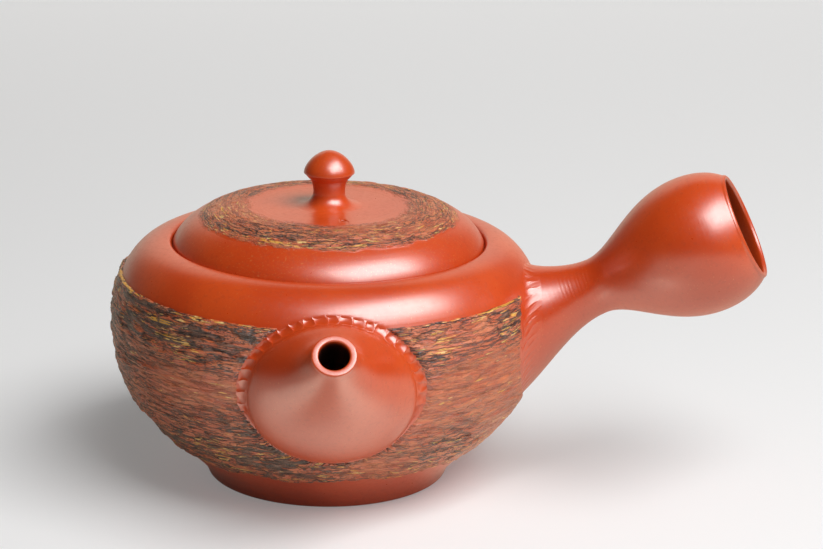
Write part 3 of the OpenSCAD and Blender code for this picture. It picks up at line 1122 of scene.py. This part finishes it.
@dataclass
class Spout:
    """The bell-shaped spout: an oval foot on the belly drawn out to a round lip, hollow all through."""

    joint: Joint
    lip_reach: float = 75.0
    lip_z: float = 55.7
    lip_rise: float = 44.0
    lip_r: float = 5.6
    bore_r: float = 3.8
    bore_len: float = 11.0
    rim_pull: float = 7.0
    neck_pull: float = 9.0
    hollow_pull: float = 5.0
    wall: float = 3.4
    sink: float = 0.4
    pressed_share: float = 0.09
    pressed_sunk: float = 0.9
    columns: int = 224

    def rings(self, angle: Array, radius: Array | float, back: Array | float) -> Array:
        """Rings about the neck at a radius and a distance back from the lip.

        Args:
            angle: ring angles in radians.
            radius: radius of the ring, or of each ring.
            back: distance back from the lip along the neck, or that of each ring.

        Returns:
            One point an angle, for each ring.
        """
        rise = np.radians(self.lip_rise)
        axis = np.array([0, -np.cos(rise), np.sin(rise)])
        upward = np.array([0, np.sin(rise), np.cos(rise)])
        spread = np.cos(angle)[:, None] * np.array([1.0, 0, 0]) + np.sin(angle)[:, None] * upward
        radius, back = (np.asarray(value, float)[..., None, None] for value in (radius, back))
        return np.array([0, -self.lip_reach, self.lip_z]) + radius * spread - back * axis

    def outside(self, angle: Array, steps: int) -> Array:
        """Outer skin: for each ring angle a cubic curve from the joint on the belly to the lip's edge.

        Args:
            angle: ring angles in radians.
            steps: number of stretches.

        Returns:
            Grid of points, rows from the joint to the lip.
        """
        half = 0.5 * (self.lip_r - self.bore_r)
        foot = self.joint.on_belly(angle, 0.0, -self.sink)
        before = self.rings(angle, self.lip_r + 0.5, half + self.neck_pull)
        return self._draw(foot, self.rings(angle, self.lip_r, half), before, self.rim_pull, steps)

    def build(self, clay: Material) -> None:
        """Makes the spout as one closed skin: outside, the lip's flat rim, the bore and the hollow bell.

        Under the pressed clay the outside is sunk, so that the scoops can bite into its edge. The bore and
        the hollow bell are marked for painted shade, which darkens them.

        Args:
            clay: its finish.
        """
        angle = round_angles(self.columns)
        half = 0.5 * (self.lip_r - self.bore_r)
        outside = self.outside(angle, 60)
        t = np.linspace(0, 1, len(outside))[:, None]
        covered = 1 - soft_step(t, 0.5 * self.pressed_share, self.pressed_share)
        sunk = self.pressed_sunk * self.joint.pressed_share(angle) * covered
        outside = outside - sunk[..., None] * grid_normals(outside, True)
        over = np.linspace(0, np.pi, 19)[1:-1]
        flat = np.sign(np.cos(over)) * np.abs(np.cos(over)) ** 0.5
        lip = self.rings(angle, self.bore_r + half + half * flat, half - half * np.sin(over) ** 0.4)
        bore = self.rings(angle, self.bore_r, [half, half + 0.4, half + 0.9, 3, 5, 7, 9])
        inner = self.joint.on_belly(angle, -self.wall, -self.sink)
        bore_end = self.rings(angle, self.bore_r, self.bore_len)
        before = self.rings(angle, self.bore_r + 0.3, self.bore_len + self.hollow_pull)
        hollow = self._draw(inner, bore_end, before, self.hollow_pull, 24)
        points = np.concatenate([outside, lip, bore, hollow[::-1]])
        # Painted shade: none on the outside and the lip, rising over the bore's first rows, full further in.
        edge = [0.2, 0.7, 0.95]
        unshaded, dark = len(outside) + len(lip), len(bore) - len(edge) + len(hollow)
        painted_shade = np.concatenate([np.zeros(unshaded), edge, np.ones(dark)])
        Piece("spout_bell", points[:, ::-1], Body.POT, Slot.CLAY, "spout", close_rows=True,
              attributes={"painted_shade": np.repeat(painted_shade[:, None], self.columns, 1)}).build(clay)

    def press(self, marks: PressedClay, clay: Material) -> None:
        """Presses clay over the top of the joint, from the bell to the pot.

        Args:
            marks: the strip and its tool marks.
            clay: its finish.
        """
        reach, steps = self.joint.sweep + 10, 100
        angle = np.radians(np.linspace(90 - reach, 90 + reach, 800))
        inner = self.outside(angle, steps)[round(steps * self.pressed_share)]
        corner = self.joint.on_belly(angle, 0.0, 0.0)
        pressed = self.joint.pressed * self.joint.pressed_share(angle)
        outer = self.joint.on_belly(angle, out=pressed + 0.9, lift=-0.06)
        marks.build(inner, corner, outer, False, clay)

    def _draw(self, foot: Array, edge: Array, before: Array, pull: float, steps: int) -> Array:
        """Cubic curves from foot to edge for all ring angles at once.

        They leave between the belly's normal and the way to the lip, and arrive along the neck.

        Args:
            foot, edge: rings at the two ends.
            before: control ring ahead of the edge.
            pull: how far the curves keep to their first direction.
            steps: number of stretches.

        Returns:
            Grid of points, rows from foot to edge.
        """
        normal = self.joint.pot.normal_at(*foot.T)
        first = unit(0.55 * normal + 0.45 * unit(edge - foot))
        t = np.linspace(0, 1, steps + 1)[:, None, None]
        return cubic(foot, foot + pull * first, before, edge, t)


@dataclass
class Handle:
    """The hollow thrown handle: a flare on the belly, a waist and an egg-shaped grip with an open end."""

    pot: Pot
    swing: float = 11.0
    rise: float = 26.0
    root_z: float = 20.0
    reach: float = 121.8
    grip_r: float = 18.3
    grip_back: float = 12.8
    waist_r: float = 7.4
    waist_back: float = 42.3
    flare_r: float = 21.0
    flare_s: float = 42.0
    hole_r: float = 12.9
    wall: float = 3.1
    rim_round: float = 0.85
    pressed: float = 3.6
    pressed_sunk: float = 0.6
    sink: float = 0.8
    neck_s: float = 77.0
    neck_len: float = 7.5
    throwing_pitch: tuple = (1.0, 0.68)
    throwing_depth: float = 0.013
    # How dark the painted shade deep in the handle's open end lies.
    painted_shade: float = 0.65
    columns: int = 192

    def axis(self) -> Array:
        """Direction of the handle's axis, outward."""
        rise, swing = np.radians(self.rise), np.radians(self.swing)
        return np.array([np.cos(rise) * np.cos(swing), -np.cos(rise) * np.sin(swing), np.sin(rise)])

    def section(self) -> tuple[Array, Array]:
        """Outer and inner sections: a curve each for the flare, the grip and the end.

        Returns:
            Points as radius and distance along the axis, both toward the open end.
        """
        waist_s, grip_s = self.reach - self.waist_back, self.reach - self.grip_back
        waist, grip = (self.waist_r, waist_s), (self.grip_r, grip_s)
        outer = chain(
            bend((self.flare_r, self.flare_s), (-1.5, 13), (0, -12.5), waist, 44),
            bend(waist, (0, 7.5), (0, -14), grip, 44),
            bend(grip, (0, 5), (2.45, -2.85), (self.hole_r + 1.45, self.reach - 0.75), 20),
        )
        bore, cup = (self.waist_r - self.wall, waist_s), (self.grip_r - self.wall, grip_s)
        inner = chain(
            bend((self.flare_r - self.wall, self.flare_s), (0, 11), (0, -14), bore, 24),
            bend(bore, (0, 8.5), (0, -13), cup, 24),
            bend(cup, (0, 5), (1.2, -2.65), (self.hole_r, self.reach - self.rim_round), 12),
        )
        return outer, inner

    def place(self, radius: Array, along: Array, angle: Array) -> Array:
        """Points at a radius and distance along the handle's axis, at an angle round it.

        Args:
            radius: distances from the axis.
            along: distances along it.
            angle: angles in radians.

        Returns:
            Points in the part's frame.
        """
        axis, swing = self.axis(), np.radians(self.swing)
        side = np.array([np.sin(swing), np.cos(swing), 0.0])
        spread = np.cos(angle)[..., None] * side + np.sin(angle)[..., None] * np.cross(axis, side)
        return np.array([0, 0, self.root_z]) + radius[..., None] * spread + along[..., None] * axis

    def trim(self, section: Array, angle: Array, rows: int, sink: float) -> tuple[Array, Array]:
        """Section points for each angle, starting where the wall comes out of the belly.

        Args:
            section: radius and distance along the axis.
            angle: angles round the axis.
            rows: number of rows.
            sink: depth under the pot's surface at the start.

        Returns:
            Radius and distance arrays, rows by angles.
        """
        fine = np.linspace(section[0, 1], section[-1, 1], 900)
        radius = np.interp(fine, section[:, 1], section[:, 0])
        points = self.place(*np.broadcast_arrays(radius[:, None], fine[:, None], angle))
        clear = np.hypot(points[..., 0], points[..., 1]) - self.pot.radius_at(points[..., 2]) + sink
        first = fine[np.argmax(clear > 0, axis=0)]
        along = first + (section[-1, 1] - first) * np.linspace(0, 1, rows)[:, None]
        return np.interp(along, section[:, 1], section[:, 0]), along

    def build(self, clay: Material) -> None:
        """Makes the handle as one closed skin: outside, rounded rim, cup and hollow, with throwing rings.

        The rings are a small wave of the radius along the axis, strongest on the neck. Under the pressed
        clay the wall is sunk, so that the scoops can bite into it.

        Args:
            clay: its finish.
        """
        outer, inner = self.section()
        angle = round_angles(self.columns)
        out_r, out_s = self.trim(outer, angle, rows=220, sink=self.sink)
        neck = np.exp(-(((out_s - self.neck_s) / self.neck_len) ** 2))
        waves = sum(np.sin(2 * np.pi * out_s / pitch) for pitch in self.throwing_pitch)
        covered = 1 - soft_step(out_s - out_s[0], 0.6 * self.pressed, self.pressed)
        out_r = out_r + self.throwing_depth * neck * waves - self.pressed_sunk * covered
        in_r, in_s = self.trim(inner, angle, rows=60, sink=self.sink)
        over = np.radians(np.linspace(8, 172, 9))[:, None]
        rim_r = 0.5 * (out_r[-1] + in_r[-1]) + 0.5 * (out_r[-1] - in_r[-1]) * np.cos(over)
        rim_s = out_s[-1] + self.rim_round * np.sin(over)
        radius = np.concatenate([out_r, rim_r, in_r[::-1]])
        along = np.concatenate([out_s, rim_s, in_s[::-1]])
        points = self.place(radius, along, np.broadcast_to(angle, radius.shape))
        # Painted shade in the cup, growing over the first 4 mm in from the rim.
        depth = np.clip((self.reach - in_s[::-1]) / 4.0, 0.0, 1.0)
        painted_shade = np.concatenate([0 * out_r, 0 * rim_r, self.painted_shade * depth])
        Piece("handle_shell", points, Body.POT, Slot.CLAY, "handle", close_rows=True,
              attributes={"painted_shade": painted_shade}).build(clay)

    def press(self, joint: Joint, marks: PressedClay, clay: Material) -> None:
        """Presses clay all round the root, from the flare to an oval on the pot.

        Args:
            joint: the oval.
            marks: the strip and its tool marks.
            clay: its finish.
        """
        angle = round_angles(900)
        section = self.section()[0]
        start = self.trim(section, angle, rows=2, sink=0.0)[1][0]
        inner, corner = (self.place(np.interp(s, section[:, 1], section[:, 0]), s, angle)
                         for s in (start + self.pressed, start))
        marks.build(inner, corner, joint.on_belly(angle, out=0.5, lift=-0.06), True, clay)


@dataclass
class Lid:
    """The loose lid: flat disc, dome with a bark ring, rounded rim, locating ring below and steam hole."""

    disc_r: float = 20.0
    disc_z: float = 73.0
    rim_r: float = 41.1
    rim_t: float = 1.9
    rim_round: float = 0.5
    ledge_z: float = 61.6
    thick: float = 4.0
    ring_r: float = 36.7
    ring_t: float = 3.0
    ring_depth: float = 8.0
    ring_round: float = 0.6
    ring_chamfer: float = 0.3
    vent_r: float = 1.1
    vent_reach: float = 17.0
    vent_turn: float = 12.0
    vent_past: float = 1.0
    columns: int = 256
    bark_r: float = 35.0
    bark_in: float = 22.5
    bark_t: float = 0.4
    bark_base: float = 0.02
    bark_sunk: float = 0.05
    bark_grid: tuple = (96, 640)

    def dome(self) -> Array:
        """The top from the edge of the disc to the rim."""
        rim = (self.rim_r, self.ledge_z + self.rim_t)
        return bend((self.disc_r, self.disc_z), (10, 0.3), (-2.6, 6), rim, 48)

    def section(self) -> Array:
        """The lid from the middle of its underside, round the ring and rim and over the top to the middle.

        Returns:
            Points as radius and height.
        """
        inner, under = self.ring_r - self.ring_t, self.disc_z - self.thick
        round_z = self.ledge_z - self.ring_depth + self.ring_round
        chamfer, flat = self.ring_chamfer, (self.disc_r - 6, under)
        return chain(
            [(0, under), (7, under)],
            bend(flat, (6, 0), (-3, 5.4), (inner, self.ledge_z), 16),
            arc((inner + self.ring_round, round_z), self.ring_round, 180, 270, 5),
            arc((self.ring_r - self.ring_round, round_z), self.ring_round, 270, 360, 5),
            [(self.ring_r, self.ledge_z - chamfer), (self.ring_r + chamfer, self.ledge_z)],
            arc((self.rim_r - self.rim_round, self.ledge_z + self.rim_round), self.rim_round, 270, 360, 5),
            self.dome()[::-1],
            [(14, self.disc_z), (8, self.disc_z), (0, self.disc_z)],
        )

    def build(self, clay: Material) -> None:
        """Makes the lid and drills its steam hole.

        Args:
            clay: its finish.
        """
        obj = Piece("lid_shell", turn(self.section(), self.columns), Body.LID, Slot.CLAY, "lid").build(clay)
        a = np.radians(self.vent_turn)
        x, y = self.vent_reach * np.sin(a), -self.vent_reach * np.cos(a)
        low, top = self.disc_z - self.thick - self.vent_past, self.disc_z + self.vent_past
        drill(obj, (x, y, low), (x, y, top), self.vent_r)

    def build_bark(self, bark: Material, relief: BarkRelief) -> None:
        """Makes the lid's bark ring: the dome raised by the relief, thinning out at its inner edge.

        Soot lies in patches where the slip covers the clay, and gold there and along the outer edge.

        Args:
            bark: finish of the ring.
            relief: its torn relief.
        """
        rows, columns = self.bark_grid
        r = np.linspace(self.bark_in - 6.0, self.bark_r + 1.6, rows)
        angle = round_angles(columns) + np.pi / 2
        z = np.interp(r, *self.dome().T, left=self.disc_z)
        slope = np.gradient(z, r)[:, None]
        middle = 0.5 * (self.disc_r + self.bark_r)
        around = 2 * np.pi * middle
        along, across = np.broadcast_arrays(angle * middle, r[:, None])
        torn = relief.height(along, across, around)
        ragged = relief.noise(Layer.EDGE, along, across, (3.0, 1.6), around) - 0.5
        patches = relief.noise(Layer.PATCH, along, across, (18.0, 3.5), around) - 0.5
        from_out = self.bark_r - across + 0.8 * ragged
        cover = soft_step(across, self.bark_in, 9.0) * soft_step(from_out, 1.5, 4.0)
        inside = soft_step(from_out, 0.2, 1.6) * soft_step(across, self.bark_in - 4.8, 1.2)
        raised = self.bark_t * torn * cover * inside
        lift = self.bark_base * inside - self.bark_sunk * (1 - inside) + raised
        lean = np.sqrt(1 + slope * slope)
        grown = across - lift * slope / lean
        points = np.stack([grown * np.cos(angle), grown * np.sin(angle), z[:, None] + lift / lean], -1)
        layers = {"grain": relief.grain(middle, angle, across, drawn=2.7, size=3.4),
                  "relief": 1 - cover + torn,
                  "soot_and_shade": np.clip(0.05 + 0.4 * cover + 0.9 * patches, 0.0, 1.0),
                  "gold": 0.5 * cover + 0.5 * np.exp(-((from_out - 1.6) / 0.5) ** 2), "cover": 1.4 * cover}
        Piece("lid_bark_ring", points[::-1], Body.LID, Slot.BARK, "lid_bark",
              attributes={name: values[::-1] for name, values in layers.items()}).build(bark)


@dataclass
class Knob:
    """The turned knob: spreading foot, slim neck and a domed cap with a sharp lower edge."""

    base_z: float = 73.0
    height: float = 14.8
    foot_r: float = 9.2
    foot_t: float = 0.02
    sink: float = 0.3
    neck_r: float = 4.2
    neck_h: float = 3.8
    throat_out: float = 1.05
    throat_down: float = 1.5
    cap_r: float = 6.7
    cap_h: float = 5.9
    cap_round: float = 0.16
    columns: int = 160

    def build(self, clay: Material) -> None:
        """Makes the knob by turning its foot, neck, underside and cap about the pot's axis.

        Args:
            clay: its finish.
        """
        top = self.base_z + self.height
        edge_z = top - self.cap_h
        foot = (self.foot_r, self.base_z - self.foot_t)
        neck = (self.neck_r, self.base_z + self.neck_h)
        throat = (self.neck_r + self.throat_out, edge_z - self.throat_down)
        section = chain(
            [(0, self.base_z - self.sink), (self.foot_r, self.base_z - self.sink)],
            bend(foot, (-2.8, 0.07), (0, -2.2), neck, 24),
            bend(neck, (0, 1.8), (-0.45, -0.4), throat, 14),
            bend(throat, (0.4, 0.25), (-0.4, -0.25), (self.cap_r - 0.1, edge_z - 0.1), 8),
            arc((self.cap_r - self.cap_round, edge_z + 0.04), self.cap_round, -60, 10, 4),
            bend((self.cap_r, edge_z + 0.12), (-0.2, 2.18), (self.cap_r / 2, -0.1), (0, top), 28),
        )
        Piece("knob_turned", turn(section, self.columns), Body.LID, Slot.CLAY, "knob").build(clay)


@dataclass
class Studio:
    """Pale sweep, soft key light and the camera."""

    camera_at: tuple = (-14.05, -699.86, 260.93)
    yaw: float = 2.958
    pitch: float = 16.463
    roll: float = 0.938
    focal_px: float = 2740.4
    image_px: float = 823.0
    sensor_mm: float = 36.0
    clip_m: tuple = (0.05, 20.0)
    aim: tuple = (0.0, 0.0, 40.0)
    sweep_back: float = 1500.0
    sweep_bend: float = 500.0
    sweep_top: float = 1500.0
    sweep_half_w: float = 2600.0
    sweep_front: float = -2600.0
    dim: tuple = (0.02, 0.02, 0.021, 1.0)
    pale: tuple = (0.72, 0.72, 0.72, 1.0)

    def build(self) -> None:
        """Makes the sweep, lights, world and camera."""
        self._sweep()
        self._softbox("key_softbox", at=(380, -370, 800), size=(820, 500), power=8.4)
        self._softbox("key_spill", at=(395, -385, 830), size=(1100, 860), power=3.4)
        self._world()
        self._camera()

    def _sweep(self) -> None:
        """A floor that curves up into a backdrop: a straight line, a quarter circle and a straight line."""
        curve = arc((self.sweep_back - self.sweep_bend, self.sweep_bend), self.sweep_bend, -90, 0, 24)
        line = chain([(self.sweep_front, 0.0)], curve, [(self.sweep_back, self.sweep_top)])
        x = np.linspace(-self.sweep_half_w, self.sweep_half_w, 9)
        points = np.stack(np.broadcast_arrays(x, line[:, :1], line[:, 1:]), -1)
        mesh = quad_mesh("studio_sweep", points, grid_faces(*points.shape[:2], False, False))
        shade_smooth(mesh)
        mesh.materials.append(PaperFinish().make("studio_paper"))
        show("studio_sweep", mesh)

    def _softbox(self, name: str, at: tuple, size: tuple, power: float) -> None:
        """An oblong lamp that faces the pot.

        Args:
            name: its name.
            at: its middle.
            size: width and height.
            power: watts.
        """
        lamp = bpy.data.lights.new(name, "AREA")
        lamp.shape, lamp.energy = "RECTANGLE", power
        lamp.size, lamp.size_y = size[0] * MM, size[1] * MM
        obj = show(name, lamp)
        obj.matrix_world = self._pose(at, unit(np.subtract(self.aim, at)), 0.0)
        obj.visible_camera = False

    def _pose(self, at: tuple, forward: Array, roll: float) -> Matrix:
        """Matrix of a camera or lamp that looks forward, rolled about its view.

        Args:
            at: its place.
            forward: the way it looks.
            roll: angle in radians.

        Returns:
            The matrix.
        """
        right = unit(np.cross(forward, [0.0, 0.0, 1.0]))
        up = np.cross(right, forward)
        across = np.cos(roll) * right + np.sin(roll) * up
        above = np.cos(roll) * up - np.sin(roll) * right
        columns = np.stack([across, above, -forward, np.multiply(at, MM)], 1)
        return Matrix([*columns.tolist(), [0, 0, 0, 1]])

    def _world(self) -> None:
        """A surround that is dim to the pieces and pale to the camera."""
        world = bpy.data.worlds.new("studio_surround")
        world.use_nodes = True
        nodes, links = world.node_tree.nodes, world.node_tree.links
        rays = nodes.new("ShaderNodeLightPath")
        choice = nodes.new("ShaderNodeMix")
        choice.data_type = "RGBA"
        choice.inputs[6].default_value, choice.inputs[7].default_value = self.dim, self.pale
        links.new(rays.outputs["Is Camera Ray"], choice.inputs[0])
        links.new(choice.outputs[2], nodes["Background"].inputs[0])
        bpy.context.scene.world = world

    def _camera(self) -> None:
        """The camera at the photographed angle."""
        yaw, pitch = np.radians(self.yaw), np.radians(self.pitch)
        forward = np.array([np.sin(yaw) * np.cos(pitch), np.cos(yaw) * np.cos(pitch), -np.sin(pitch)])
        data = bpy.data.cameras.new("camera")
        data.sensor_fit, data.sensor_width = "HORIZONTAL", self.sensor_mm
        data.lens = self.focal_px * self.sensor_mm / self.image_px
        data.clip_start, data.clip_end = self.clip_m
        camera = show("camera", data)
        camera.matrix_world = self._pose(self.camera_at, forward, np.radians(self.roll))
        bpy.context.scene.camera = camera


def main() -> None:
    """Builds the teapot's pieces and the studio."""
    logging.basicConfig(level=logging.INFO, format="%(name)s: %(message)s")
    bpy.context.scene.view_settings.view_transform = "Standard"
    pot, lid, knob = Pot(), Lid(), Knob()
    handle = Handle(pot)
    axis = handle.axis()
    clay, speckled = ClayFinish(), ClayFinish(grit_share=0.64, grit_cover=0.25)
    thrown = clay.make("clay_thrown", Turning.UPRIGHT, axis)
    lid_clay = speckled.make("clay_lid", Turning.FLAT, axis)
    handle_clay = clay.make("clay_handle", Turning.HANDLE, axis)
    modelled = clay.make("clay_modelled", Turning.NONE, axis)
    finer_bark = BarkFinish(clay=speckled, flake_scale=2.1, detail=4.0, rough=0.62, fleck_scale=2.4,
                            crack_width=0.030)
    bark, lid_bark = BarkFinish().make("bark_slip"), finer_bark.make("bark_slip_lid")

    toward_handle = 90.0 - handle.swing
    spout_joint = Joint(pot, turned=0.0, half_w=21.7, half_h=19.3, mid_z=37.6, pressed=2.2)
    handle_joint = Joint(pot, turned=toward_handle, half_w=17.7, half_h=17.2, mid_z=41.7)
    pot.build(thrown, [spout_joint, handle_joint])
    handle_gap = Joint(pot, turned=toward_handle + 2.0, half_w=21.3, half_h=18.6, mid_z=43.2)
    behind_handle = Joint(pot, turned=toward_handle + 9.0, half_w=18.0, half_h=20.0, mid_z=50.0)
    pot.build_bark(bark, BarkRelief(seed=11), [spout_joint, handle_gap, behind_handle])
    spout = Spout(spout_joint)
    spout.build(modelled)
    spout_marks = PressedClay("spout_press_marks", "spout_collar", count=27, length=2.2, width=1.7,
                              depth=0.5, rim=0.08, lean=25, middle=0.52, fullness=0.12, seed=5)
    spout.press(spout_marks, modelled)
    handle.build(handle_clay)
    handle_marks = PressedClay("handle_press_marks", "handle_collar", count=44, length=4.5, width=1.4,
                               depth=0.22, rim=0.03, lean=-20, middle=0.48, fullness=0.3, seed=6)
    handle.press(handle_joint, handle_marks, modelled)
    lid.build(lid_clay)
    lid.build_bark(lid_bark, BarkRelief(pillow=(6.5, 1.2), wrinkle=(3.2, 0.8), plate=(4.5, 1.2), seed=31))
    knob.build(thrown)
    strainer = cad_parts["strainer"]
    strainer.data.materials.clear()
    strainer.data.materials.append(modelled)
    Studio().build()


if __name__ == "__main__":
    main()
